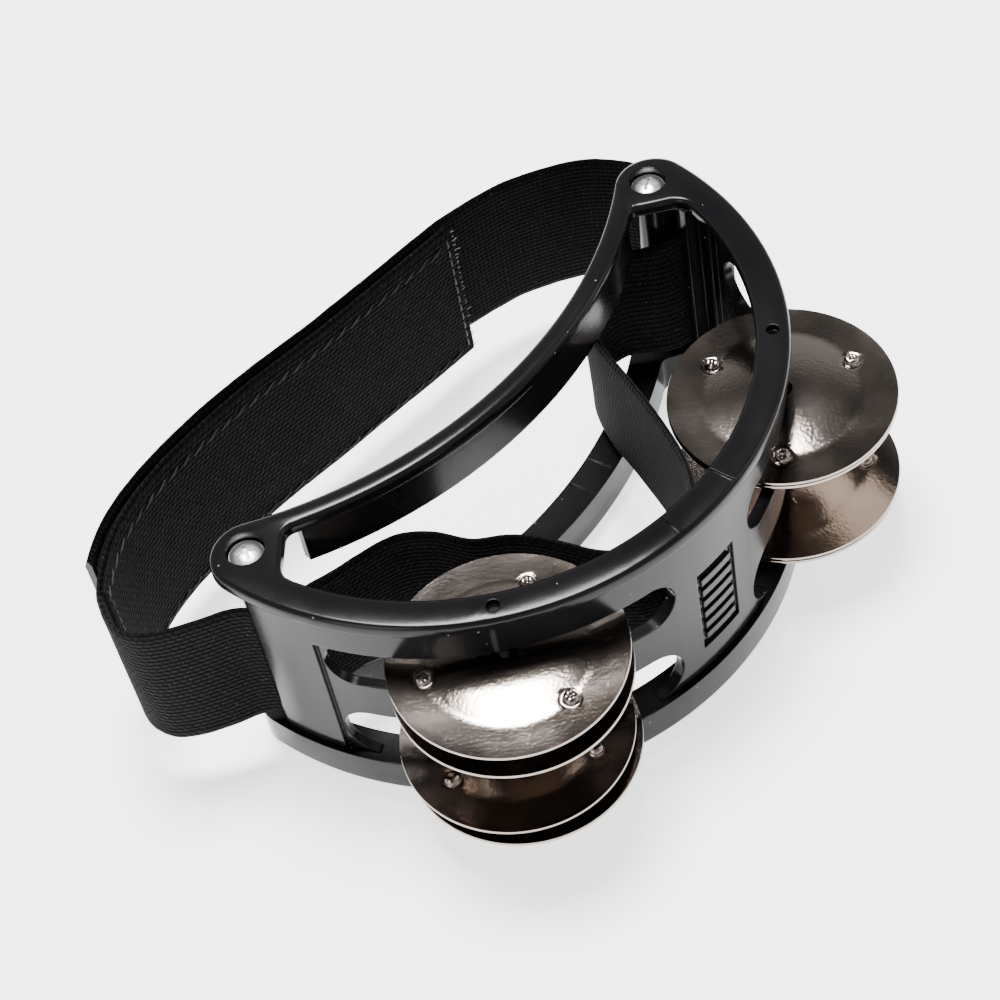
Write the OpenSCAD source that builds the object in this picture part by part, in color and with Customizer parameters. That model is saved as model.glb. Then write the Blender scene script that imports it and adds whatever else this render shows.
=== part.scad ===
// Foot tambourine: a half-moon frame that sits on the instep, two pins each
// carrying two pairs of steel jingles in the slots of the curved wall, and a
// wide elastic strap that passes through both tips and overlaps at the back.
// Millimetres, +Z up, standing on the bottom ring. X runs from tip to tip,
// +Y points to the strap, -Y to the curved wall with the jingles.

/* [Frame] */
// overall height of the half-moon frame
frame_h = 60; // [57:1:66]
// half the distance between the two tip screws
tip_x = 63.8; // [62:0.2:67]
// how far the tip centre lies behind the screw
tip_y = -1.5; // [-2:0.1:-1]
// radius of the rounded tip
tip_r = 8.6; // [8.2:0.1:9]
// centre of the curved outer wall, along Y
front_cy = 2.2; // [1:0.2:4]
// centre of the hollow side, along Y
hollow_cy = 93.6; // [90:0.5:98]
// width of the curved top rim
rim_w = 7.4; // [7:0.1:8]
// thickness of the top rim
rim_t = 3; // [2.6:0.1:3.4]
// how far the rim stands out over the wall
rim_lip = 1.2; // [0.8:0.1:1.6]
// width of the top bar on the hollow side
bar_w = 4.9; // [4.4:0.1:5.6]
// depth of the inner lip under the top bar
bar_lip_h = 13; // [11:0.5:13]
// wall thickness
wall_t = 3; // [2.6:0.1:3.2]
// height of the separate bottom ring
ring_h = 9.6; // [9:0.1:9.8]
// width of the bottom bar on the hollow side
low_bar_w = 7.6; // [6:0.1:8]
// bevel on the visible rim edges
edge_c = 1.1; // [0.6:0.1:1.3]

/* [Jingle slots] */
// lower edge of the upper slots
slot_up_z = 35.2; // [35:0.1:36]
// upper edge of the upper slots
slot_up_top = 48; // [47.6:0.1:49]
// upper edge of the lower slots
slot_low_top = 24.8; // [24.4:0.1:25.4]
// slot end nearest the middle, degrees from the middle
slot_a0 = 9.5; // [9:0.1:10.5]
// slot end nearest the tip, degrees from the middle
slot_a1 = 71; // [70:0.1:71.6]
// depth of the shallow step behind which the slots lie
step_d = 0.9; // [0.5:0.1:1.1]

/* [Jingles] */
// jingle radius
jingle_r = 25; // [24:0.25:25.5]
// sheet thickness of a jingle
jingle_t = 0.8; // [0.7:0.05:0.9]
// rise of the dome above the flange
dome_h = 1.8; // [1.4:0.1:2]
// radius at the foot of the dome
dome_r = 17.4; // [16.6:0.1:18]
// radius of the jingle's centre hole
jingle_hole_r = 2.4; // [2.2:0.1:2.5]
// radius of the jingle pin
pin_r = 1; // [0.9:0.05:1.1]
// distance of each pin from the middle plane
pin_x = 44.2; // [43.6:0.2:44.8]
// how far the left upper top jingle is lifted off its mate
lift_left_upper = 5.2; // [4:0.1:6]
// how far the left lower top jingle is lifted off its mate
lift_left_lower = 3; // [2:0.1:4]

/* [Strap] */
// thickness of the webbing
web_t = 1.5; // [1.3:0.1:1.6]
// lower edge of the strap
strap_z0 = 11.6; // [11:0.1:12.4]
// upper edge of the strap
strap_z1 = 49.4; // [48.6:0.1:50]
// lower edge of the elastic run inside the frame
elastic_z0 = 12.4; // [11.6:0.1:13]
// upper edge of the elastic run inside the frame
elastic_z1 = 46.6; // [46:0.1:46.7]
// how far the doubled end stands below the strap
tail_drop = 2.4; // [1.5:0.1:3]

/* [Hidden] */

$fn = 96;
plastic = [0.09, 0.09, 0.10];
steel = [0.78, 0.76, 0.74];
zinc = [0.72, 0.73, 0.74];
webbing = [0.12, 0.12, 0.13];

// ---- shared geometry of the half-moon -------------------------------------
A = [0, front_cy];                 // centre of the curved wall
B = [0, hollow_cy];                // centre of the hollow side
T = [tip_x, tip_y];                // centre of the right tip
S = [tip_x, 0];                    // right screw
ra = norm(T - A) + tip_r;          // outer radius of the curved rim
rb = norm(T - B) - tip_r;          // radius of the hollow side
wall_r = ra - rim_lip;             // outer radius of the wall
pin_rr = ra - rim_w / 2;           // radius on which the pins stand
pin_y = front_cy - sqrt(pin_rr * pin_rr - pin_x * pin_x);
big = 200;

function unit(v) = v / norm(v);
// outline point on the curved side, a degrees from the middle towards +X
function on_wall(a, r) = [A[0] + r * sin(a), A[1] - r * cos(a)];
// crossing of circle (p, r) and circle (q, s), side = +1 or -1
function cross2(p, r, q, s, side) =
    let (d = norm(q - p), a = (r * r - s * s + d * d) / (2 * d),
         h = sqrt(max(0, r * r - a * a)), u = unit(q - p))
    p + a * u + side * h * [-u[1], u[0]];

module both() { children(); mirror([1, 0]) children(); }

// n points of an arc about p, the last one left out
function arc(p, r, a0, a1, n) = [for (i = [0 : n - 1]) let (a = a0 + (a1 - a0) * i / n) p + r * [cos(a), sin(a)]];
function ang(v) = atan2(v[1], v[0]);
function flip(p) = [-p[0], p[1]];

// outer outline drawn inwards by d: front arc, tip, hollow side, tip
fa = ang(T - A);
fb = ang(B - T);
function outer_pts(d) = concat(
    arc(A, ra - d, 180 - fa, 360 + fa, 100), arc(T, tip_r - d, fa, fb, 26),
    arc(B, rb + d, fb - 180, -fb, 56), arc(flip(T), tip_r - d, 180 - fb, 180 - fa, 26));

// two rounding circles at the end of the see-through opening
c1r = 4.6;
c2r = 2.5;
land = 8.2;
function o1(wf) = cross2(A, ra - wf - c1r, S, land + c1r, -1);
function o2(wb) = cross2(B, rb + wb + c2r, S, land + c2r, -1);

// see-through opening for rim width wf and bar width wb, drawn inwards by d
function hole_pts(wf, wb, d) =
    let (p1 = o1(wf), p2 = o2(wb), k = p1 - p2, l = norm(k), u = k / l,
         s = (c1r - c2r) / l, c = sqrt(1 - s * s),
         g1 = ang(p1 - A), gn = ang([-u[1] * c - u[0] * s, u[0] * c - u[1] * s]), g2 = ang(B - p2))
    concat(arc(A, ra - wf - d, 180 - g1, 360 + g1, 100),
           arc(p1, c1r - d, g1, gn, 12), [p1 + (c1r - d) * [cos(gn), sin(gn)]],
           arc(p2, c2r - d, gn, g2, 13),
           arc(B, rb + wb + d, g2 - 180, -g2, 56),
           arc(flip(p2), c2r - d, 180 - g2, 180 - gn, 13), [flip(p2 + (c2r - d) * [cos(gn), sin(gn)])],
           arc(flip(p1), c1r - d, 180 - gn, 180 - g1, 12));

// closed ring-shaped solid through the outlines L[i] at the heights Z[i]
module ring_solid(L, Z) {
    n = len(L[0]); m = len(L);
    polyhedron(
        points = [for (i = [0 : m - 1]) for (p = L[i]) [p[0], p[1], Z[i]]],
        faces = [for (i = [0 : m - 1]) for (j = [0 : n - 1])
            [i * n + j, ((i + 1) % m) * n + j, ((i + 1) % m) * n + (j + 1) % n, i * n + (j + 1) % n]],
        convexity = 6);
}
function halfway(P, Q) = [for (i = [0 : len(P) - 1]) (P[i] + Q[i]) / 2];

// quarter-round in two flats: inset and drop at its three corners
function e_in(k) = edge_c * [0, 0.29, 1][k];
function e_up(k) = edge_c * [1, 0.29, 0][k];

// upright cylinder sector of the wall between angles a0 and a1
module wall_sector(r0, r1, a0, a1, z0, z1) {
    translate([A[0], A[1], z0]) rotate([0, 0, a0 - 90])
        rotate_extrude(angle = a1 - a0, $fn = 240) translate([r0, 0]) square([r1 - r0, z1 - z0]);
}

// ---- frame ------------------------------------------------------------------
// round-ended slot through the wall on side s
module slot(s, z0, z1, open_below) {
    h = z1 - z0; r = h / 2; zc = (z0 + z1) / 2;
    e = asin(r / wall_r);
    a0 = slot_a0 + e; a1 = slot_a1 - e;
    wall_sector(wall_r - 7, wall_r + 4, s > 0 ? a0 : -a1, s > 0 ? a1 : -a0, open_below ? z0 - 2 : z0, z1);
    for (a = [s * a0, s * a1])
        translate([A[0], A[1], zc]) rotate([0, 0, a - 90]) rotate([0, 90, 0])
            translate([0, 0, wall_r - 7.5]) cylinder(r = r + 0.04, h = 12, $fn = 48);
}

// top rim and bar in one piece: edges rounded above, faces very slightly crowned
module rim_plate() {
    o = [for (k = [0 : 2]) outer_pts(e_in(k))];
    h = [for (k = [0 : 2]) hole_pts(rim_w, bar_w, -e_in(k))];
    crown = 0.1;
    translate([0, 0, frame_h - rim_t])
        ring_solid([o[0], o[0], o[1], o[2], halfway(o[2], h[2]), h[2], h[1], h[0], h[0], halfway(o[0], h[0])],
                   [0, rim_t - crown - e_up(0), rim_t - crown - e_up(1), rim_t - crown, rim_t,
                    rim_t - crown, rim_t - crown - e_up(1), rim_t - crown - e_up(0), 0, -crown]);
}

post_r = 4.6;
channel_r = 8.1;

module upper_body() {
    z0 = ring_h + 0.2;
    h = frame_h - rim_t - z0 + 0.2;
    difference() {
        translate([0, 0, z0]) linear_extrude(h) wall_plan();
        // shallow step in front of the slots, fading out towards the middle
        translate([0, 0, z0 - 1]) linear_extrude(slot_up_top - z0 + 1) both() step_plan();
        for (s = [-1, 1]) {
            slot(s, slot_up_z, slot_up_top, false);
            slot(s, z0, slot_low_top, true);
        }
        // sunk panel with raised bars
        grip_panel();
    }
    // bosses that carry the jingle pins through the rim band and the middle bar
    pair([pin_x, pin_y], slot_up_top + 0.3) cylinder(r = 3, h = frame_h - rim_t - slot_up_top, $fn = 48);
    pair([pin_x, pin_y], slot_low_top + 0.3) cylinder(r = 2.4, h = slot_up_z - slot_low_top - 0.6, $fn = 48);
    // inner lip under the bar on the hollow side
    translate([0, 0, frame_h - bar_lip_h]) linear_extrude(bar_lip_h - rim_t + 0.1) lip_plan();
}

// plan of the curved wall, the strap channels, tip posts and inner ribs
module wall_plan() {
    difference() {
        translate(A) circle(r = wall_r, $fn = 240);
        translate(A) circle(r = wall_r - wall_t, $fn = 240);
        polygon([A, A + big * [sin(88), -cos(88)], A + big * [1, 1], A + big * [-1, 1], A + big * [-sin(88), -cos(88)]]);
        for (s = [-1, 1]) translate([s * T[0], T[1]]) circle(r = channel_r, $fn = 64);
    }
    for (s = [-1, 1]) translate([s * T[0], T[1]]) circle(r = post_r, $fn = 64);
    for (s = [-1, 1]) {
        guide_rib(s);
        // stiffening ribs inside the end panels
        rotate_about_a(s * 74) translate([-0.6, -(wall_r - wall_t + 0.3)]) square([1.2, 1.8]);
    }
    // thicker panel in the middle between the two slot groups
    intersection() {
        difference() {
            translate(A) circle(r = wall_r - wall_t + 0.3, $fn = 240);
            translate(A) circle(r = wall_r - wall_t - 1, $fn = 240);
        }
        polygon([A, A + big * [sin(6.4), -cos(6.4)], A + big * [-sin(6.4), -cos(6.4)]]);
    }
}
module rotate_about_a(a) { translate(A) rotate(a) children(); }

// ring segment just outside the recessed wall face
module step_plan() {
    a = slot_a1 + 0.8;
    s = step_d / sin(a - slot_a0);
    intersection() {
        difference() {
            translate(A) circle(r = wall_r + 2, $fn = 240);
            translate(A - s * [cos(slot_a0), sin(slot_a0)]) circle(r = wall_r, $fn = 240);
        }
        polygon([A, A + big * [sin(slot_a0), -cos(slot_a0)], A + big * [1, -1], A + big * [sin(a), -cos(a)]]);
    }
}

// L-shaped lip: a thin skin along the inner edge of the bar
module lip_plan() {
    intersection() {
        difference() {
            translate(B) circle(r = rb + bar_w - 0.08, $fn = 360);
            translate(B) circle(r = rb + bar_w - 1.8, $fn = 360);
        }
        polygon([[-54.5, -30], [54.5, -30], [50, 20], [-50, 20]]);
    }
}

// the same piece at p and at its mirror place, at height z
module pair(p, z) { for (s = [-1, 1]) translate([s * p[0], p[1], z]) children(); }

// curled rib at the wall end, bounding the strap channel
module guide_rib(s) {
    p = [s * T[0], T[1]];
    intersection() {
        difference() {
            translate(p) circle(r = channel_r + 2, $fn = 96);
            translate(p) circle(r = channel_r, $fn = 96);
        }
        polygon([p, p + 30 * [s * cos(-97), sin(-97)], p + 30 * [s * cos(-80), sin(-80)],
                 p + 30 * [s * cos(-62), sin(-62)]]);
    }
}

// sunk rectangular panel, with slanted bars left standing inside it
module grip_panel() {
    w = 11.6; z0 = 17; z1 = 42;
    difference() {
        intersection() {
            translate([-w / 2, -wall_r - 5, z0]) cube([w, 20, z1 - z0]);
            difference() {
                translate([A[0], A[1], z0 - 1]) cylinder(r = wall_r + 2, h = z1 - z0 + 2, $fn = 240);
                translate([A[0], A[1], z0 - 2]) cylinder(r = wall_r - 0.8, h = z1 - z0 + 4, $fn = 240);
            }
        }
        for (i = [0 : 5])
            translate([-w / 2 + 1.2, -wall_r - 6, z0 + 2.2 + i * 3.65]) cube([w - 2.4, 22, 2]);
    }
}

module frame_upper_shell() {
    color(plastic) difference() {
        union() { rim_plate(); upper_body(); ridges(); }
        // screw recess and bore
        pair(S, frame_h - 2.6) cylinder(r = 4.1, h = 4, $fn = 48);
        pair(S, 0) cylinder(r = 1.8, h = frame_h, $fn = 32);
        // pin hole, wider at the very top
        pair([pin_x, pin_y], 0) cylinder(r = pin_r + 0.05, h = frame_h + 1, $fn = 32);
        pair([pin_x, pin_y], frame_h - 1.4) cylinder(r = 1.45, h = 2, $fn = 32);
    }
}

// two low ridges across the rim beside the middle
module ridges() {
    for (s = [-1, 1]) translate([A[0], A[1], frame_h - 0.4]) rotate([0, 0, s * 6.6 - 90])
        translate([ra - rim_w + 0.8, -0.45, 0]) cube([rim_w - 1.9, 0.9, 0.75]);
}

module frame_bottom_ring() {
    color(plastic) difference() {
        ring_solid([outer_pts(e_in(2)), outer_pts(e_in(1)), outer_pts(0), outer_pts(0),
                    halfway(outer_pts(0), hole_pts(rim_w, low_bar_w, 0)),
                    hole_pts(rim_w, low_bar_w, 0), hole_pts(rim_w, low_bar_w, 0)],
                   [0, e_up(1), e_up(0), ring_h, ring_h - 0.12, ring_h, 0]);
        pair(S, 2.4) cylinder(r = 1.52, h = ring_h, $fn = 32);
        pair([pin_x, pin_y], 2) cylinder(r = pin_r + 0.05, h = ring_h, $fn = 32);
        // two fine lines across the bar on the hollow side
        for (a = [12.5, 8.2]) translate([B[0], B[1], ring_h - 0.3]) rotate([0, 0, a - 90])
            translate([rb + 0.8, -0.2, 0]) cube([low_bar_w - 1.6, 0.4, 1]);
    }
}

// ---- screws and pins ----------------------------------------------------------
module tip_screw() {
    color(zinc) translate([S[0], S[1], 0]) difference() {
        union() {
            translate([0, 0, 3]) cylinder(r = 1.5, h = frame_h - 2.6 - 3 + 0.01, $fn = 32);
            translate([0, 0, frame_h - 2.6]) cylinder(r = 3.7, h = 0.7, $fn = 48);
            intersection() {
                translate([0, 0, frame_h - 2.6]) cylinder(r = 3.7, h = 3, $fn = 48);
                translate([0, 0, frame_h - 2.6 + 1.9 - 6.2]) sphere(r = 6.2, $fn = 96);
            }
        }
        // cross recess
        for (a = [25, 115]) translate([0, 0, frame_h - 2.6 + 0.7]) rotate([0, 0, a])
            translate([-2, -0.42, 0]) cube([4, 0.84, 3]);
    }
}
module tip_screw_right() { tip_screw(); }
module tip_screw_left() { mirror([1, 0, 0]) tip_screw(); }

module jingle_pin() {
    color(steel) translate([pin_x, pin_y, 2.2]) cylinder(r = pin_r, h = frame_h - 1.6 - 2.2, $fn = 32);
}
module jingle_pin_right() { jingle_pin(); }
module jingle_pin_left() { mirror([1, 0, 0]) jingle_pin(); }

// ---- jingles --------------------------------------------------------------------
cap_r = (dome_r * dome_r + dome_h * dome_h) / (2 * dome_h);

// one jingle, flange underside at z = 0, dome up, bumps turned by a
module jingle(a) {
    ri = cap_r - jingle_t;
    difference() {
        union() {
            cylinder(r = jingle_r, h = jingle_t, $fn = 120);
            intersection() {
                translate([0, 0, jingle_t + dome_h - cap_r]) sphere(r = cap_r, $fn = 180);
                cylinder(r = dome_r, h = jingle_t + dome_h + 1, $fn = 120);
            }
            for (k = [0 : 2]) rotate([0, 0, a + 120 * k]) translate([dome_r + 0.1, 0, 0])
                intersection() {
                    translate([0, 0, 0.1]) sphere(r = 1.9, $fn = 32);
                    cylinder(r = 3, h = 4, $fn = 32);
                }
        }
        intersection() {
            translate([0, 0, dome_h - cap_r]) sphere(r = cap_r, $fn = 180);
            translate([0, 0, -1]) cylinder(r = dome_r - 0.1, h = dome_h + 2, $fn = 120);
        }
        for (k = [0 : 2]) rotate([0, 0, a + 120 * k]) translate([dome_r + 0.1, 0, -0.1])
            sphere(r = 1.3, $fn = 32);
        translate([0, 0, -1]) cylinder(r = jingle_hole_r, h = 8, $fn = 48);
    }
}

seat = 0.3;                                   // clearance of the resting dome over its slot edge
disc_h = jingle_t + dome_h;
low_up = slot_up_z + seat + disc_h;           // split plane of a closed upper pair
low_low = ring_h + seat + disc_h;             // split plane of a closed lower pair
gap0 = 0.1;                                   // rest gap between a closed pair

// dome-up jingle with its flange underside at z
module jingle_up(sx, off, z, a) {
    color(steel) translate([sx * pin_x + off[0], pin_y + off[1], z]) jingle(a);
}
// dome-down jingle with its flange upper face at z
module jingle_down(sx, off, z, a) {
    color(steel) translate([sx * pin_x + off[0], pin_y + off[1], z]) mirror([0, 0, 1]) jingle(a);
}
module jingle_left_upper_top()     { jingle_up(-1, [0.3, -0.7], low_up + lift_left_upper, 148); }
module jingle_left_upper_bottom()  { jingle_down(-1, [0.2, -1.0], low_up, 20); }
module jingle_left_lower_top()     { jingle_up(-1, [-0.7, 0.6], low_low + lift_left_lower, 171); }
module jingle_left_lower_bottom()  { jingle_down(-1, [-0.3, -0.6], low_low, 40); }
module jingle_right_upper_top()    { jingle_up(1, [0.9, -0.5], low_up + gap0, 98); }
module jingle_right_upper_bottom() { jingle_down(1, [0.8, -0.5], low_up, 65); }
module jingle_right_lower_top()    { jingle_up(1, [0.6, -0.8], low_low + gap0, 75); }
module jingle_right_lower_bottom() { jingle_down(1, [0.5, -0.8], low_low, 10); }

// ---- strap ------------------------------------------------------------------------
// smooth curve through the points P, n steps per span
function cr(p0, p1, p2, p3, t) =
    0.5 * ((2 * p1) + (p2 - p0) * t + (2 * p0 - 5 * p1 + 4 * p2 - p3) * t * t
           + (3 * p1 - p0 - 3 * p2 + p3) * t * t * t);
function at(P, i) = i < 0 ? 2 * P[0] - P[1] : i >= len(P) ? 2 * P[len(P) - 1] - P[len(P) - 2] : P[i];
function curve(P, n) = [for (i = [0 : len(P) - 2]) for (k = [0 : n - 1])
        cr(at(P, i - 1), P[i], P[i + 1], at(P, i + 2), k / n), P[len(P) - 1]];
// left-hand unit normal at sample i of curve C
function nrm(C, i) = let (a = C[max(0, i - 1)], b = C[min(len(C) - 1, i + 1)], u = unit(b - a)) [-u[1], u[0]];
function shifted(C, d) = [for (i = [0 : len(C) - 1]) C[i] + d * nrm(C, i)];
function back(C) = [for (i = [len(C) - 1 : -1 : 0]) C[i]];
// band of thickness t along curve C, from height z0 to z1
module band(C, d0, d1, z0, z1) {
    translate([0, 0, z0]) linear_extrude(z1 - z0)
        polygon(concat(shifted(C, d0), back(shifted(C, d1))));
}
function tip_pt(sx, a, r) = [sx * (T[0] + r * cos(a)), T[1] + r * sin(a)];
ch = post_r + 1 + web_t / 2;                  // band centre line round the post

left_in = curve([tip_pt(-1, -32, ch), tip_pt(-1, -58, ch), tip_pt(-1, -90, ch + 0.1), [-56, -8.8], [-45, -10.8],
    [-37, -13.6], [-31.6, -19.4], [-28, -27.4], [-23.2, -32.4], [-20.2, -37], [-17.4, -43.4], [-14.4, -51.2], [-9, -57.8], [-0.3, -60.6]], 5);
right_in = curve([[0.3, -60.6], [6, -58.6], [11.8, -53], [16, -46.4], [20.6, -36.6], [24.8, -25],
    [28.6, -14.4], [33, -6.2], [38.6, -0.6], [45, 1.8], [51.2, 0.6], [55.6, -3.4], [58.6, -6.2],
    tip_pt(1, -100, ch + 0.1), tip_pt(1, -65, ch), tip_pt(1, -32, ch)], 5);
left_out = curve([tip_pt(-1, -28.5, ch), [-70.9, -2.3], [-73.6, 0], [-78.4, 2.6], [-84.4, 6.4], [-88.8, 11],
    [-89.8, 16.8], [-86.6, 23.8], [-80, 30], [-71, 35.3], [-59, 38.7], [-44, 40.2], [-26, 40], [-6, 38.2],
    [14, 37.2], [34, 36.3]], 5);
lap_from = 40;                                 // first sample of left_out that the other half lies behind
over = [for (i = [lap_from : len(left_out) - 1]) left_out[i]];
right_own = curve([tip_pt(1, -28.5, ch), [70.8, -2.2], [72.6, 1.6], [74.3, 7.6], [73.5, 15.4], [67.2, 25.8],
    [54, 34.4], [43, 38]], 5);
right_out = concat([for (i = [0 : len(right_own) - 2]) right_own[i]], back(shifted(over, 2.3 * web_t)));

module strap_left_inner_run() {
    color(webbing) band(left_in, -web_t / 2, web_t / 2, elastic_z0, elastic_z1);
}
module strap_right_inner_run() {
    color(webbing) band(right_in, -web_t / 2, web_t / 2, elastic_z0, elastic_z1);
}
module strap_left_outer_run() {
    color(webbing) band(left_out, -web_t / 2, web_t / 2, strap_z0 - tail_drop * 0.6, strap_z1);
}
module strap_right_outer_run() {
    color(webbing) band(right_out, -web_t / 2, web_t / 2, strap_z0, strap_z1);
}
module strap_hook_strip() {
    color(webbing) band(over, web_t / 2 + 0.04, web_t / 2 + 0.94, strap_z0 - 0.6, strap_z1 - 1);
}

frame_upper_shell();
frame_bottom_ring();
tip_screw_left();
tip_screw_right();
jingle_pin_left();
jingle_pin_right();
jingle_left_upper_top();
jingle_left_upper_bottom();
jingle_left_lower_top();
jingle_left_lower_bottom();
jingle_right_upper_top();
jingle_right_upper_bottom();
jingle_right_lower_top();
jingle_right_lower_bottom();
strap_left_inner_run();
strap_left_outer_run();
strap_right_inner_run();
strap_right_outer_run();
strap_hook_strip();
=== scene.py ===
import bpy, bmesh, math, random
from mathutils import Vector, Matrix, noise


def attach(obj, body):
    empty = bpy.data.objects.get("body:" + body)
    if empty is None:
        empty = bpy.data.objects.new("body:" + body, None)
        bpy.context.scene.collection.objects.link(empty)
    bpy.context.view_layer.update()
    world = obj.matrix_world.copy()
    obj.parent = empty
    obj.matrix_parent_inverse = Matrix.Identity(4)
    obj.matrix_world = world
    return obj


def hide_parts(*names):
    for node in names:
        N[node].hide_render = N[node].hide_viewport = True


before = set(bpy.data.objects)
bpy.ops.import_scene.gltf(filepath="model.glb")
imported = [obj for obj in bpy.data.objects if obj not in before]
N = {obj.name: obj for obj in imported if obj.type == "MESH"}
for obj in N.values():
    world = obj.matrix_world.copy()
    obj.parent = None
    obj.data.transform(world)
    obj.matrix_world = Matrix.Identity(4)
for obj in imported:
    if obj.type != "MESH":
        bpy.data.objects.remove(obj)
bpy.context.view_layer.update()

scene = bpy.context.scene
MM = 0.001

# ------------------------------------------------------------------ camera
az, el, roll = math.radians(-38.651), math.radians(50.579), math.radians(-12.168)
back = Vector((math.sin(az) * math.cos(el), -math.cos(az) * math.cos(el), math.sin(el)))
right = Vector((math.cos(az), math.sin(az), 0.0))
up = back.cross(right)
r2 = right * math.cos(roll) + up * math.sin(roll)
u2 = -right * math.sin(roll) + up * math.cos(roll)
C = Vector((-220.1, -279.6, 442.5)) * MM
cam_data = bpy.data.cameras.new("camera")
cam_data.sensor_width = 36.0
cam_data.lens = 2454.17 / 1000.0 * 36.0
cam_data.clip_start = 0.01
cam_data.clip_end = 50.0
cam = bpy.data.objects.new("camera", cam_data)
M = Matrix((r2, u2, back)).transposed().to_4x4()
M.translation = C
cam.matrix_world = M
scene.collection.objects.link(cam)
scene.camera = cam


# ------------------------------------------------------------------ node helpers
class Mat:
    def __init__(self, name):
        self.m = bpy.data.materials.new(name)
        self.m.use_nodes = True
        self.t = self.m.node_tree
        self.t.nodes.clear()
        self.out = self.t.nodes.new("ShaderNodeOutputMaterial")
        self.p = self.t.nodes.new("ShaderNodeBsdfPrincipled")
        self.t.links.new(self.p.outputs[0], self.out.inputs[0])

    def n(self, kind, **kw):
        x = self.t.nodes.new(kind)
        for k, v in kw.items():
            setattr(x, k, v)
        return x

    def l(self, a, b):
        self.t.links.new(a, b)

    def set(self, **kw):
        for k, v in kw.items():
            self.p.inputs[k.replace("_", " ")].default_value = v

    def coord(self, what="Object"):
        return self.n("ShaderNodeTexCoord").outputs[what]

    def noise(self, vec, scale, detail=4.0, rough=0.5):
        x = self.n("ShaderNodeTexNoise")
        x.inputs["Scale"].default_value = scale
        x.inputs["Detail"].default_value = detail
        x.inputs["Roughness"].default_value = rough
        self.l(vec, x.inputs["Vector"])
        return x.outputs["Fac"]

    def voronoi(self, vec, scale, feature="F1"):
        x = self.n("ShaderNodeTexVoronoi", feature=feature)
        x.inputs["Scale"].default_value = scale
        self.l(vec, x.inputs["Vector"])
        return x.outputs["Distance"]

    def math(self, op, a, b=None, c=None, clamp=False):
        x = self.n("ShaderNodeMath", operation=op)
        x.use_clamp = clamp
        for i, v in enumerate((a, b, c)):
            if v is None:
                continue
            if isinstance(v, (int, float)):
                x.inputs[i].default_value = v
            else:
                self.l(v, x.inputs[i])
        return x.outputs[0]

    def maprange(self, v, a, b, c, d):
        x = self.n("ShaderNodeMapRange")
        for i, k in ((1, a), (2, b), (3, c), (4, d)):
            x.inputs[i].default_value = k
        self.l(v, x.inputs[0])
        return x.outputs[0]

    def mix(self, f, a, b):
        x = self.n("ShaderNodeMix", data_type="RGBA")
        if isinstance(f, (int, float)):
            x.inputs[0].default_value = f
        else:
            self.l(f, x.inputs[0])
        for i, v in ((6, a), (7, b)):
            if isinstance(v, tuple):
                x.inputs[i].default_value = (*v, 1.0)
            else:
                self.l(v, x.inputs[i])
        return x.outputs[2]

    def bump(self, h, dist, strength=1.0, normal=None):
        x = self.n("ShaderNodeBump")
        x.inputs["Distance"].default_value = dist
        x.inputs["Strength"].default_value = strength
        self.l(h, x.inputs["Height"])
        if normal is not None:
            self.l(normal, x.inputs["Normal"])
        return x.outputs[0]


def plastic():
    m = Mat("gloss_black_moulding")
    v = m.coord()
    big = m.noise(v, 38.0, 3.0)
    fine = m.noise(v, 620.0, 3.0)
    peel = m.noise(v, 170.0, 2.0)
    specks = m.voronoi(v, 300.0)
    dust = m.math("LESS_THAN", specks, 0.055)
    keep = m.math("GREATER_THAN", m.noise(v, 90.0, 1.0), 0.56)
    dust = m.math("MULTIPLY", dust, keep)
    col = m.mix(big, (0.0035, 0.0035, 0.0040), (0.0070, 0.0068, 0.0075))
    col = m.mix(m.math("MULTIPLY", dust, 0.55), col, (0.32, 0.32, 0.33))
    m.l(col, m.p.inputs["Base Color"])
    r = m.maprange(big, 0.3, 0.7, 0.13, 0.22)
    r = m.math("ADD", r, m.math("MULTIPLY", dust, 0.3))
    m.l(r, m.p.inputs["Roughness"])
    m.p.inputs["IOR"].default_value = 1.50
    m.p.inputs["Specular IOR Level"].default_value = 0.17
    b = m.n("ShaderNodeBevel", samples=6)
    b.inputs["Radius"].default_value = 0.00045
    h = m.math("ADD", m.math("MULTIPLY", peel, 0.7), m.math("MULTIPLY", fine, 0.25))
    h = m.math("ADD", h, m.math("MULTIPLY", dust, 0.4))
    m.l(m.bump(h, 0.00012, 0.30, b.outputs[0]), m.p.inputs["Normal"])
    return m.m


def metal(name, c0, c1, r0, r1, grain, bumpd, spot=0.0):
    m = Mat(name)
    v = m.coord()
    big = m.noise(v, 55.0, 4.0)
    fine = m.noise(v, grain, 5.0, 0.65)
    cells = m.voronoi(v, grain * 0.8)
    m.l(m.mix(big, c0, c1), m.p.inputs["Base Color"])
    m.p.inputs["Metallic"].default_value = 1.0
    m.l(m.maprange(big, 0.25, 0.75, r0, r1), m.p.inputs["Roughness"])
    h = m.math("ADD", m.math("MULTIPLY", fine, 0.7), m.math("MULTIPLY", cells, 0.5))
    h = m.math("ADD", h, m.math("MULTIPLY", big, 0.9))
    m.l(m.bump(h, bumpd, 0.6), m.p.inputs["Normal"])
    return m.m


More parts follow.
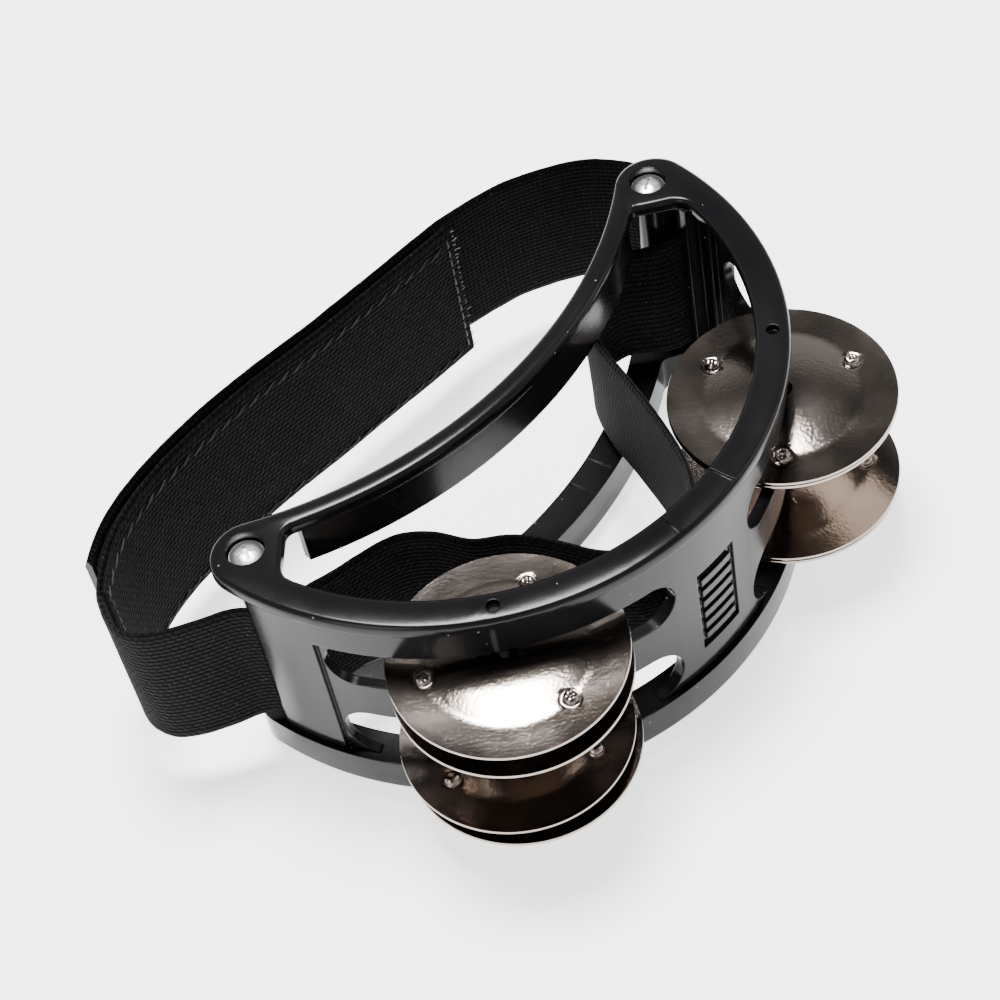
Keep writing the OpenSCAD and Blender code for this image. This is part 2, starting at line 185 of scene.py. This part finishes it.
def cloth(name, pu, pv, brick, dark, light, depth, slant=0.0, rib=0.35):
    """Rows of small raised floats: pu along the strap, pv across it, in metres."""
    m = Mat(name)
    uv = m.n("ShaderNodeUVMap", uv_map="UVMap").outputs[0]
    s = m.n("ShaderNodeSeparateXYZ")
    m.l(uv, s.inputs[0])
    v3 = m.coord()
    wob = m.math("MULTIPLY", m.math("SUBTRACT", m.noise(v3, 260.0, 2.0), 0.5), 0.0005)
    u = m.math("ADD", s.outputs[0], wob)
    w = m.math("ADD", s.outputs[1], m.math("MULTIPLY", wob, 0.6))
    row = m.math("DIVIDE", w, pv)
    rid = m.math("FLOOR", row)
    rf = m.math("SUBTRACT", row, rid)
    off = m.math("MULTIPLY", rid, brick)
    col_ = m.math("ADD", m.math("ADD", m.math("DIVIDE", u, pu), off), m.math("MULTIPLY", rf, slant))
    cf = m.math("FRACT", col_)
    a = m.math("SINE", m.math("MULTIPLY", cf, math.pi))
    b = m.math("SINE", m.math("MULTIPLY", rf, math.pi))
    a = m.math("POWER", m.math("MAXIMUM", a, 0.0), 0.6)
    b = m.math("POWER", m.math("MAXIMUM", b, 0.0), 0.6)
    h = m.math("MULTIPLY", a, b)
    fuzz = m.noise(v3, 2600.0, 3.0, 0.7)
    h2 = m.math("ADD", m.math("MULTIPLY", h, 1.0), m.math("MULTIPLY", fuzz, rib))
    # Painted shade: colour follows the float height, so hollows between floats are darker and float tops lighter; a
    # coarse noise varies this contrast at random.
    float_tone_noise = m.noise(v3, 60.0, 4.0)
    f = m.math("MULTIPLY", h, m.maprange(float_tone_noise, 0.3, 0.7, 0.55, 1.0), clamp=True)
    c = m.mix(f, dark, light)
    lint = m.math("GREATER_THAN", m.noise(v3, 1500.0, 2.0), 0.705)
    c = m.mix(m.math("MULTIPLY", lint, 0.35), c, (0.10, 0.10, 0.105))
    m.l(c, m.p.inputs["Base Color"])
    m.set(Roughness=0.82, Specular_IOR_Level=0.05, Sheen_Weight=0.02, Sheen_Roughness=0.5)
    m.l(m.bump(h2, depth, 0.9), m.p.inputs["Normal"])
    return m.m


def thread(name, c):
    m = Mat(name)
    v = m.coord()
    f = m.noise(v, 2400.0, 3.0)
    m.l(m.mix(f, tuple(x * 0.6 for x in c), c), m.p.inputs["Base Color"])
    m.set(Roughness=0.6, Sheen_Weight=0.3)
    m.l(m.bump(f, 0.0002, 0.7), m.p.inputs["Normal"])
    return m.m


PLASTIC = plastic()
ZINC = metal("zinc_plate", (0.70, 0.72, 0.74), (0.86, 0.86, 0.86), 0.22, 0.36, 900.0, 0.00010)
PIN_BASE = metal("bright_wire", (0.45, 0.44, 0.43), (0.62, 0.61, 0.60), 0.18, 0.3, 1200.0, 0.00006)
JINGLE = metal("nickel_sheet", (0.27, 0.225, 0.193), (0.41, 0.355, 0.312), 0.09, 0.17, 1500.0, 0.00005)
PIN = PIN_BASE
# Painted shade: pin faces pointing up (its top end) are coloured near-black over the wire colour.
pt = PIN.node_tree
pn = next(x for x in pt.nodes if x.bl_idname == "ShaderNodeBsdfPrincipled")
was = pn.inputs["Base Color"].links[0].from_socket
ptc = pt.nodes.new("ShaderNodeTexCoord")
psx = pt.nodes.new("ShaderNodeSeparateXYZ")
up_facing_mask = pt.nodes.new("ShaderNodeMath")
up_facing_mask.operation = "GREATER_THAN"
up_facing_mask.inputs[1].default_value = 0.8
painted_shade_mix = pt.nodes.new("ShaderNodeMix")
painted_shade_mix.data_type = "RGBA"
painted_shade_mix.inputs[7].default_value = (0.012, 0.012, 0.012, 1)
pt.links.new(ptc.outputs["Normal"], psx.inputs[0])
pt.links.new(psx.outputs[2], up_facing_mask.inputs[0])
pt.links.new(up_facing_mask.outputs[0], painted_shade_mix.inputs[0])
pt.links.new(was, painted_shade_mix.inputs[6])
pt.links.new(painted_shade_mix.outputs[2], pn.inputs["Base Color"])
TWILL = cloth("twill_webbing_cloth", 0.00170, 0.00125, 0.5, (0.0003, 0.0003, 0.0003), (0.0075, 0.0072, 0.0076), 0.00055, 0.0)
ELASTIC = cloth("ribbed_elastic_cloth", 0.00120, 0.00120, 0.0, (0.0005, 0.0005, 0.0005), (0.0046, 0.0044, 0.0049), 0.00034, 0.0)
RIBBED = cloth("elastic_cross_rib_cloth", 0.00105, 0.00160, 0.5, (0.0005, 0.0005, 0.0005), (0.0050, 0.0048, 0.0053), 0.00034, 0.1)
PILE = cloth("looped_pile", 0.00065, 0.00065, 0.37, (0.002, 0.002, 0.002), (0.014, 0.013, 0.013), 0.0003, 0.0, 0.8)
THREAD = thread("sewing_thread", (0.034, 0.034, 0.036))
EDGE = thread("selvedge_yarn", (0.007, 0.0066, 0.0064))
FRAY = thread("frayed_yarn", (0.16, 0.14, 0.12))


# ------------------------------------------------------------------ carried-over CAD nodes
def dress(node, mat, angle=38.0, weight=80):
    o = N[node]
    o.data.materials.clear()
    o.data.materials.append(mat)
    for p in o.data.polygons:
        p.use_smooth = True
    a = o.data.attributes.get("custom_normal")
    if a is not None:
        o.data.attributes.remove(a)
    w = o.modifiers.new("weld", "WELD")
    w.merge_threshold = 2e-6
    e = o.modifiers.new("edges", "EDGE_SPLIT")
    e.split_angle = math.radians(angle)
    e.use_edge_sharp = False
    k = o.modifiers.new("normals", "WEIGHTED_NORMAL")
    k.weight = weight
    k.keep_sharp = True
    return o


dress("frame_upper_shell", PLASTIC, 52)
dress("frame_bottom_ring", PLASTIC, 52)
for s in ("left", "right"):
    dress("tip_screw_" + s, ZINC, 30, 50)
    dress("jingle_pin_" + s, PIN, 30, 50)


def link(o):
    scene.collection.objects.link(o)
    return o


def mesh_obj(name, verts, faces, mats, uvs=None, smooth=True, fmat=None):
    me = bpy.data.meshes.new(name)
    me.from_pydata([tuple(v) for v in verts], [], faces)
    for m in mats:
        me.materials.append(m)
    if uvs is not None:
        lay = me.uv_layers.new(name="UVMap")
        for p in me.polygons:
            for li, vi in zip(p.loop_indices, p.vertices):
                lay.data[li].uv = uvs[vi]
    for i, p in enumerate(me.polygons):
        p.use_smooth = smooth
        if fmat:
            p.material_index = fmat[i]
    me.update()
    return link(bpy.data.objects.new(name, me))


# ------------------------------------------------------------------ jingles
J_R, J_T, D_H, D_R, H_R = 25.0, 0.8, 1.8, 17.4, 2.4


def jingle(name, node, body, cx, cy, z, a, up_side, seed):
    """Pressed sheet disc: flat flange, shallow dome, centre hole and three punched bumps."""
    rnd = random.Random(seed)
    nA = 192
    prof = [H_R, H_R + 0.25] + [H_R + 0.25 + (D_R - 1.4 - H_R - 0.25) * i / 16 for i in range(1, 17)] \
        + [D_R - 1.4 + 2.4 * i / 12 for i in range(1, 13)] + [D_R + 1.0 + (24.2 - D_R - 1.0) * i / 8 for i in range(1, 9)] \
        + [24.6, 24.88]
    cap = (D_R * D_R + D_H * D_H) / (2 * D_H)

    def height(r):
        zz = max(0.0, D_H - (cap - math.sqrt(max(0.0, cap * cap - r * r))))
        # soften the foot of the dome
        k = 1.1
        t = (r - (D_R - k)) / (2 * k)
        if 0 < t < 1:
            z_in = D_H - (cap - math.sqrt(cap * cap - (D_R - k) ** 2))
            zz = z_in * (1 - t) ** 2
        return zz - (0.10 * ((r - 21.5) / 3.5) ** 2 if r > 21.5 else 0) * -1 * 0.6

    ph = [(math.radians(a + 120 * k), 1.0 + rnd.uniform(-0.1, 0.1)) for k in range(3)]

    def bump(x, y):
        zz = 0.0
        for t, s in ph:
            dx, dy = x - (D_R + 0.1) * math.cos(t), y - (D_R + 0.1) * math.sin(t)
            q = math.hypot(dx, dy)
            if q < 2.6:
                dome = math.sqrt(max(0.0, 1 - (q / 1.75) ** 2)) * 1.35 * s if q < 1.75 else 0.0
                skirt = -0.16 * math.exp(-((q - 2.0) / 0.3) ** 2)
                crush = -0.55 * math.exp(-(q / 0.6) ** 2) + 0.10 * math.cos(3 * math.atan2(dy, dx) + t) * math.exp(-((q - 0.9) / 0.35) ** 2)
                zz = max(zz, dome + crush) if q < 1.75 else zz + skirt
        return zz

    vs, fs = [], []
    rings = []
    # angular samples gathered round the bumps
    ang = sorted(set([2 * math.pi * i / nA for i in range(nA)] +
                     [(t + math.radians(d)) % (2 * math.pi) for t, _ in ph for d in
                      [x * 0.45 for x in range(-16, 17)]]))
    out = [ang[0]]
    for t in ang[1:]:
        if t - out[-1] > 0.003:
            out.append(t)
    ang = out
    n = len(ang)
    prof2 = []
    for r in prof:
        prof2.append(r)
    prof2 = sorted(set([round(r, 3) for r in prof2] + [round(D_R + 0.1 + x * 0.16, 3) for x in range(-14, 15)]))
    warp = [rnd.uniform(-1, 1) for _ in range(4)]

    def wavy(t, r):
        return 0.05 * (r / 25.0) ** 2 * (warp[0] * math.sin(2 * t + warp[1]) + warp[2] * math.sin(3 * t + warp[3]))

    def add_ring(r, dz_fn):
        base = len(vs)
        for t in ang:
            x, y = r * math.cos(t), r * math.sin(t)
            vs.append((x, y, dz_fn(r, t, x, y)))
        rings.append(base)

    topf = lambda r, t, x, y: height(r) + J_T + bump(x, y) + wavy(t, r)
    botf = lambda r, t, x, y: max(0.0, height(r) + bump(x, y) * 0.85 + wavy(t, r))
    for r in prof2:
        add_ring(r, topf)
    add_ring(24.98, lambda r, t, x, y: height(r) + J_T * 0.8 + wavy(t, r))
    add_ring(24.98, lambda r, t, x, y: height(r) + J_T * 0.2 + wavy(t, r))
    for r in reversed(prof2):
        add_ring(r, botf)
    m = len(rings)
    for i in range(m):
        a0, b0 = rings[i], rings[(i + 1) % m]
        for j in range(n):
            k = (j + 1) % n
            fs.append((a0 + j, b0 + j, b0 + k, a0 + k))
    if not up_side:
        vs = [(x, -y, -zz) for x, y, zz in vs]
    vs = [(x * MM, y * MM, zz * MM) for x, y, zz in vs]
    o = mesh_obj(name, vs, fs, [JINGLE])
    e = o.modifiers.new("edges", "EDGE_SPLIT")
    e.split_angle = math.radians(55)
    o.location = Vector((cx, cy, z)) * MM
    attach(o, body)
    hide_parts(node)
    return o


ra = math.hypot(63.8, -3.7) + 8.6
prr = ra - 3.7
PX = 44.2
PY = 2.2 - math.sqrt(prr * prr - PX * PX)
LU, LL = 35.2 + 0.3 + 2.6, 9.6 + 0.3 + 2.6
spec = [("jingle_left_upper_top", -1, 0.3, -0.7, LU + 5.2, 148, True), ("jingle_left_upper_bottom", -1, 0.2, -1.0, LU, 20, False),
        ("jingle_left_lower_top", -1, -0.7, 0.6, LL + 3.0, 171, True), ("jingle_left_lower_bottom", -1, -0.3, -0.6, LL, 40, False),
        ("jingle_right_upper_top", 1, 0.9, -0.5, LU + 0.1, 98, True), ("jingle_right_upper_bottom", 1, 0.8, -0.5, LU, 65, False),
        ("jingle_right_lower_top", 1, 0.6, -0.8, LL + 0.1, 75, True), ("jingle_right_lower_bottom", 1, 0.5, -0.8, LL, 10, False)]
for i, (nm, sx, ox, oy, z, a, upw) in enumerate(spec):
    jingle(nm.replace("jingle", "disc"), nm, nm, sx * PX + ox, PY + oy, z, a, upw, 11 + i)


# ------------------------------------------------------------------ strap
T = Vector((63.8, -1.5))
CH = 4.6 + 1 + 0.75


def tip(sx, a, r):
    return (sx * (T.x + r * math.cos(math.radians(a))), T.y + r * math.sin(math.radians(a)))


def curve(P, n):
    P = [Vector(p) for p in P]
    at = lambda i: 2 * P[0] - P[1] if i < 0 else (2 * P[-1] - P[-2] if i >= len(P) else P[i])
    out = []
    for i in range(len(P) - 1):
        p0, p1, p2, p3 = at(i - 1), P[i], P[i + 1], at(i + 2)
        for k in range(n):
            t = k / n
            out.append(0.5 * ((2 * p1) + (p2 - p0) * t + (2 * p0 - 5 * p1 + 4 * p2 - p3) * t * t + (3 * p1 - p0 - 3 * p2 + p3) * t ** 3))
    out.append(P[-1])
    return out


def resample(C_, step):
    L = [0.0]
    for a, b in zip(C_, C_[1:]):
        L.append(L[-1] + (b - a).length)
    n = max(2, int(L[-1] / step))
    out, j = [], 0
    for i in range(n + 1):
        s = L[-1] * i / n
        while j < len(L) - 2 and L[j + 1] < s:
            j += 1
        f = (s - L[j]) / max(1e-9, L[j + 1] - L[j])
        out.append(C_[j].lerp(C_[j + 1], min(1, f)))
    return out, L[-1]


def normals(C_):
    out = []
    for i in range(len(C_)):
        a, b = C_[max(0, i - 1)], C_[min(len(C_) - 1, i + 1)]
        u = (b - a).normalized()
        out.append(Vector((-u.y, u.x)))
    return out


left_in = curve([tip(-1, -32, CH), tip(-1, -58, CH), tip(-1, -90, CH + 0.1), (-56, -8.8), (-45, -10.8),
                 (-37, -13.6), (-31.6, -19.4), (-28, -27.4), (-23.2, -32.4), (-20.2, -37), (-17.4, -43.4), (-14.4, -51.2), (-9, -57.8), (-0.3, -60.6)], 10)
right_in = curve([(0.3, -60.6), (6, -58.6), (11.8, -53), (16, -46.4), (20.6, -36.6), (24.8, -25),
                  (28.6, -14.4), (33, -6.2), (38.6, -0.6), (45, 1.8), (51.2, 0.6), (55.6, -3.4), (58.6, -6.2),
                  tip(1, -100, CH + 0.1), tip(1, -65, CH), tip(1, -32, CH)], 10)
left_out = curve([tip(-1, -28.5, CH), (-70.9, -2.3), (-73.6, 0), (-78.4, 2.6), (-84.4, 6.4), (-88.8, 11),
                  (-89.8, 16.8), (-86.6, 23.8), (-80, 30), (-71, 35.3), (-59, 38.7), (-44, 40.2), (-26, 40), (-6, 38.2),
                  (14, 37.2), (34, 36.3)], 10)
right_own = curve([tip(1, -28.5, CH), (70.8, -2.2), (72.6, 1.6), (74.3, 7.6), (73.5, 15.4), (67.2, 25.8),
                   (54, 34.4), (43, 38)], 10)
over = left_out[80:]
onrm = normals(left_out)[80:]
shift_over = [p + 3.45 * q for p, q in zip(over, onrm)]
left_path = list(reversed(left_in)) + left_out
right_path = right_in + right_own[:-1] + list(reversed(shift_over))


def smoothstep(a, b, x):
    t = min(1.0, max(0.0, (x - a) / (b - a)))
    return t * t * (3 - 2 * t)


def strip(name, path, zf, off, th, mats, body, step=0.7, nz=26, slack=0.0, seed=1, cuff=0.0, mat_at=None):
    """Woven band: swept rounded-rectangle section with a beaded selvedge on both long edges."""
    P, L = resample(path, step)
    Nn = normals(P)
    vs, uv, fs, fm = [], [], [], []
    h = th / 2
    sect = []
    # (side offset -1..1, position across 0..1, bead)
    for k in range(nz + 1):
        sect.append((-1, k / nz))
    for k in range(nz, -1, -1):
        sect.append((1, k / nz))
    m = len(sect)
    acc = 0.0
    for i, (p, q) in enumerate(zip(P, Nn)):
        if i:
            acc += (p - P[i - 1]).length
        z0, z1 = zf(acc, L, p)
        o = off(acc, L) if callable(off) else off
        for side, f in sect:
            e = min(f, 1 - f) * (z1 - z0)
            rnd = 1.0
            if e < 0.5:
                rnd = math.sqrt(max(0.0, 1 - (1 - e / 0.5) ** 2)) * 0.75 + 0.25
            bead = 0.10 * math.exp(-((e - 1.1) / 0.5) ** 2) - 0.06 * math.exp(-((e - 2.1) / 0.35) ** 2)
            wob = slack * (noise.noise(Vector((acc * 0.06, f * 1.6, seed * 3.1))))
            d = o + side * (h * rnd + (bead if e >= 0.5 else 0)) + wob
            ripple = 0.10 * noise.noise(Vector((acc * 0.35, seed * 7.7, f * 2)))
            zz = z0 + f * (z1 - z0) + (ripple if e < 0.6 else 0)
            vs.append(((p.x + d * q.x) * MM, (p.y + d * q.y) * MM, zz * MM))
            uv.append((acc * MM, (z0 + f * (z1 - z0)) * MM))
    n = len(P)
    for i in range(n - 1):
        for j in range(m):
            k = (j + 1) % m
            fs.append((i * m + j, i * m + k, (i + 1) * m + k, (i + 1) * m + j))
            fm.append(mat_at(i / (n - 1)) if mat_at else 0)
    for i, flip_ in ((0, False), (n - 1, True)):
        for k in range(nz):
            q = (i * m + k, i * m + k + 1, i * m + (m - 2 - k), i * m + (m - 1 - k))
            fs.append(q if flip_ else tuple(reversed(q)))
            fm.append(len(mats) - 1)
    o = mesh_obj(name, vs, fs, mats, uv, True, fm)
    e = o.modifiers.new("edges", "EDGE_SPLIT")
    e.split_angle = math.radians(60)
    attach(o, body)
    return o, P, Nn, L


def plen(C_):
    return sum((b - a).length for a, b in zip(C_, C_[1:]))


Lin, Rin = plen(left_in), plen(right_in)
Lown = plen(right_own)
FOLD = Lin + plen(left_out[:72])          # where the sewn panel begins on the left half


def z_left(s, L, p):
    k = smoothstep(Lin - 22, Lin - 2, s)
    k2 = smoothstep(Lin + 4, Lin + 26, s)
    z0 = 12.4 + (11.9 - 12.4) * k - 0.7 * k2
    z1 = 46.6 + 2.9 * k
    return z0, z1


def z_right(s, L, p):
    k = smoothstep(Rin - 20, Rin - 3, s)
    return 12.4 - 0.7 * k, 46.6 + 2.8 * k


left, LP, LN, LL_ = strip("left_webbing", left_path, z_left, lambda s, L: 0.0 if s < FOLD - 3 else 0.32 * smoothstep(FOLD - 3, FOLD + 1, s),
                          1.36, [TWILL, EDGE], "frame", slack=0.25, seed=2)
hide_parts("strap_left_inner_run", "strap_left_outer_run")
rightw, RP, RN, RL_ = strip("right_elastic", right_path, z_right, 0.0, 1.4, [ELASTIC, RIBBED, EDGE], "frame", slack=0.2, seed=5,
                            mat_at=lambda f: 1 if f * (Rin + Lown) < Rin * 0.62 else 0)
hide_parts("strap_right_inner_run", "strap_right_outer_run")

# sewn panel on the inner face of the left half, a little wider than the webbing
panel_path = left_out[72:]
panel, PP, PN, PL = strip("sewn_panel", panel_path, lambda s, L, p: (9.1 + 0.25 * math.sin(s * 0.09), 49.1), -0.82, 0.78,
                          [TWILL, EDGE], "frame", slack=0.10, seed=9)
hook, _, _, _ = strip("hook_strip", over, lambda s, L, p: (11.2, 48.3), 1.30, 0.78, [PILE, PILE], "frame", slack=0.06, seed=12)
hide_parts("strap_hook_strip")


def frame_at(P, Nn, s):
    acc = 0.0
    for i in range(1, len(P)):
        d = (P[i] - P[i - 1]).length
        if acc + d >= s:
            f = (s - acc) / d
            return P[i - 1].lerp(P[i], f), Nn[i], (P[i] - P[i - 1]).normalized()
        acc += d
    return P[-1], Nn[-1], (P[-1] - P[-2]).normalized()


def stitch_row(name, P, Nn, s0, s1, zc, side_off, pitch, rise, rad, seed, mat=THREAD):
    """A row of short slanted stitches lying on the cloth, each a bent thread that dives at both ends."""
    rnd = random.Random(seed)
    vs, fs = [], []
    s = s0
    k = 0
    while s < s1:
        ln = pitch * 0.82 + rnd.uniform(-0.15, 0.15)
        p, q, t = frame_at(P, Nn, s)
        ring = []
        for i in range(9):
            f = i / 8
            lift = math.sin(math.pi * f) ** 0.5 * rad * 1.1 - 0.12
            along = (f - 0.5) * ln
            zz = zc(s) + (f - 0.5) * rise + rnd.uniform(-0.02, 0.02)
            c = p + t * along + q * (side_off - lift)
            base = len(vs)
            for a in range(6):
                th = 2 * math.pi * a / 6
                rr = rad * (0.55 + 0.45 * math.sin(math.pi * min(1, max(0, f))) ** 0.4)
                vs.append(((c.x + q.x * rr * math.cos(th)) * MM, (c.y + q.y * rr * math.cos(th)) * MM, (zz + rr * math.sin(th)) * MM))
            ring.append(base)
        for a0, b0 in zip(ring, ring[1:]):
            for j in range(6):
                kx = (j + 1) % 6
                fs.append((a0 + j, b0 + j, b0 + kx, a0 + kx))
        fs.append(tuple(ring[0] + j for j in range(6)))
        fs.append(tuple(ring[-1] + 5 - j for j in range(6)))
        s += pitch
        k += 1
    o = mesh_obj(name, vs, fs, [mat])
    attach(o, "frame")
    return o


stitch_row("panel_stitches_top", PP, PN, 2.0, PL - 2.0, lambda s: 45.4, -1.28, 4.3, 1.5, 0.20, 3)
stitch_row("panel_stitches_bottom", PP, PN, 2.0, PL - 2.0, lambda s: 11.0, -1.28, 4.3, 0.9, 0.20, 4)


def stitch_column(name, P, Nn, s, z0, z1, side_off, seed):
    rnd = random.Random(seed)
    vs, fs = [], []
    p, q, t = frame_at(P, Nn, s)
    z = z0
    while z < z1:
        ln = 2.3
        ring = []
        for i in range(7):
            f = i / 6
            lift = math.sin(math.pi * f) ** 0.5 * 0.2 - 0.1
            c = p + q * (side_off - lift) + t * rnd.uniform(-0.03, 0.03)
            zz = z + f * ln
            base = len(vs)
            for a in range(6):
                th = 2 * math.pi * a / 6
                vs.append(((c.x + (q.x * math.cos(th) + t.x * math.sin(th)) * 0.16) * MM,
                           (c.y + (q.y * math.cos(th) + t.y * math.sin(th)) * 0.16) * MM, zz * MM))
            ring.append(base)
        for a0, b0 in zip(ring, ring[1:]):
            for j in range(6):
                kx = (j + 1) % 6
                fs.append((a0 + j, b0 + j, b0 + kx, a0 + kx))
        z += 3.0
    o = mesh_obj(name, vs, fs, [THREAD])
    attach(o, "frame")
    return o


stitch_column("panel_stitches_start", PP, PN, 1.6, 11.5, 46.0, -1.28, 6)
stitch_column("panel_stitches_end", PP, PN, PL - 1.6, 11.5, 46.0, -1.28, 7)

# loose yarn ends where the panel is cut
rnd = random.Random(21)


def yarn(name, pts, rad, mat):
    cd = bpy.data.curves.new(name, "CURVE")
    cd.dimensions = "3D"
    cd.bevel_depth = rad * MM
    cd.bevel_resolution = 2
    for P in pts:
        sp = cd.splines.new("NURBS")
        sp.points.add(len(P) - 1)
        for i, v in enumerate(P):
            sp.points[i].co = (v[0] * MM, v[1] * MM, v[2] * MM, 1)
        sp.use_endpoint_u = True
        sp.order_u = 3
    cd.materials.append(mat)
    o = link(bpy.data.objects.new(name, cd))
    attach(o, "frame")
    return o


pts = []
pe, qe, te = frame_at(PP, PN, PL)
for i in range(26):
    z = 10 + 38.5 * i / 25 + rnd.uniform(-0.5, 0.5)
    o_ = -0.82 + rnd.uniform(-0.25, 0.25)
    ln = rnd.uniform(0.4, 1.3) * (1.4 if z > 42 else 1.0)
    a = pe - te * 0.4 + qe * o_
    b = pe + te * ln * 0.6 + qe * (o_ + rnd.uniform(-0.2, 0.2))
    c = pe + te * ln + qe * (o_ + rnd.uniform(-0.4, 0.3))
    pts.append([(a.x, a.y, z), (b.x, b.y, z + rnd.uniform(-0.2, 0.2)), (c.x, c.y, min(49.3, z + rnd.uniform(-0.6, 0.6)))])
yarn("panel_frayed_end", pts, 0.10, FRAY)

# ------------------------------------------------------------------ floor and light
fl = bpy.data.meshes.new("floor")
fl.from_pydata([(-6, -6, 0), (6, -6, 0), (6, 6, 0), (-6, 6, 0)], [], [(0, 1, 2, 3)])
floor = link(bpy.data.objects.new("floor", fl))
fm = Mat("paper")
fv = fm.coord()
fm.l(fm.mix(fm.noise(fv, 3.0), (0.90, 0.90, 0.90), (0.93, 0.93, 0.93)), fm.p.inputs["Base Color"])
fm.set(Roughness=0.9, Specular_IOR_Level=0.05)
fm.p.inputs["Emission Color"].default_value = (1, 1, 1, 1)
fm.p.inputs["Emission Strength"].default_value = 1.9
fl.materials.append(fm.m)
floor.location.z = -0.0002

w = bpy.data.worlds.new("studio")
scene.world = w
w.use_nodes = True
wt = w.node_tree
wt.nodes.clear()
wo = wt.nodes.new("ShaderNodeOutputWorld")
bg = wt.nodes.new("ShaderNodeBackground")
tc = wt.nodes.new("ShaderNodeTexCoord")
sx = wt.nodes.new("ShaderNodeSeparateXYZ")
cr = wt.nodes.new("ShaderNodeValToRGB")
wt.links.new(tc.outputs["Generated"], sx.inputs[0])
wt.links.new(sx.outputs[2], cr.inputs[0])
wt.links.new(cr.outputs[0], bg.inputs[0])
wt.links.new(bg.outputs[0], wo.inputs[0])
e = cr.color_ramp.elements
e[0].position = 0.0
e[0].color = (1, 1, 1, 1)
e[1].position = 1.0
e[1].color = (0.10, 0.10, 0.105, 1)
for pos, c in ((0.30, 0.95), (0.54, 0.80), (0.63, 0.50), (0.72, 0.12), (0.80, 0.07), (0.90, 0.10)):
    x = e.new(pos)
    x.color = (c, c, c, 1)
bg.inputs[1].default_value = 0.62


def area(name, loc, target, size, power, sy=None, col=(1, 1, 1)):
    d = bpy.data.lights.new(name, "AREA")
    d.shape = "RECTANGLE"
    d.size = size
    d.size_y = sy or size
    d.energy = power
    d.color = col
    o = link(bpy.data.objects.new(name, d))
    o.location = loc
    v = Vector(target) - Vector(loc)
    o.rotation_euler = v.to_track_quat("-Z", "Y").to_euler()
    return o


def ray(azd, eld, dist):
    a_, e_ = math.radians(azd), math.radians(eld)
    return Vector((math.cos(a_) * math.cos(e_), math.sin(a_) * math.cos(e_), math.sin(e_))) * dist


mid = Vector((0, -0.02, 0.03))
area("overhead", mid + ray(60, 76, 1.6), mid, 0.62, 80, 0.5)
area("side_left", mid + ray(190, 30, 1.5), mid, 0.5, 6, 1.0)
area("side_right", mid + ray(-35, 34, 1.5), mid, 0.5, 3, 1.0)
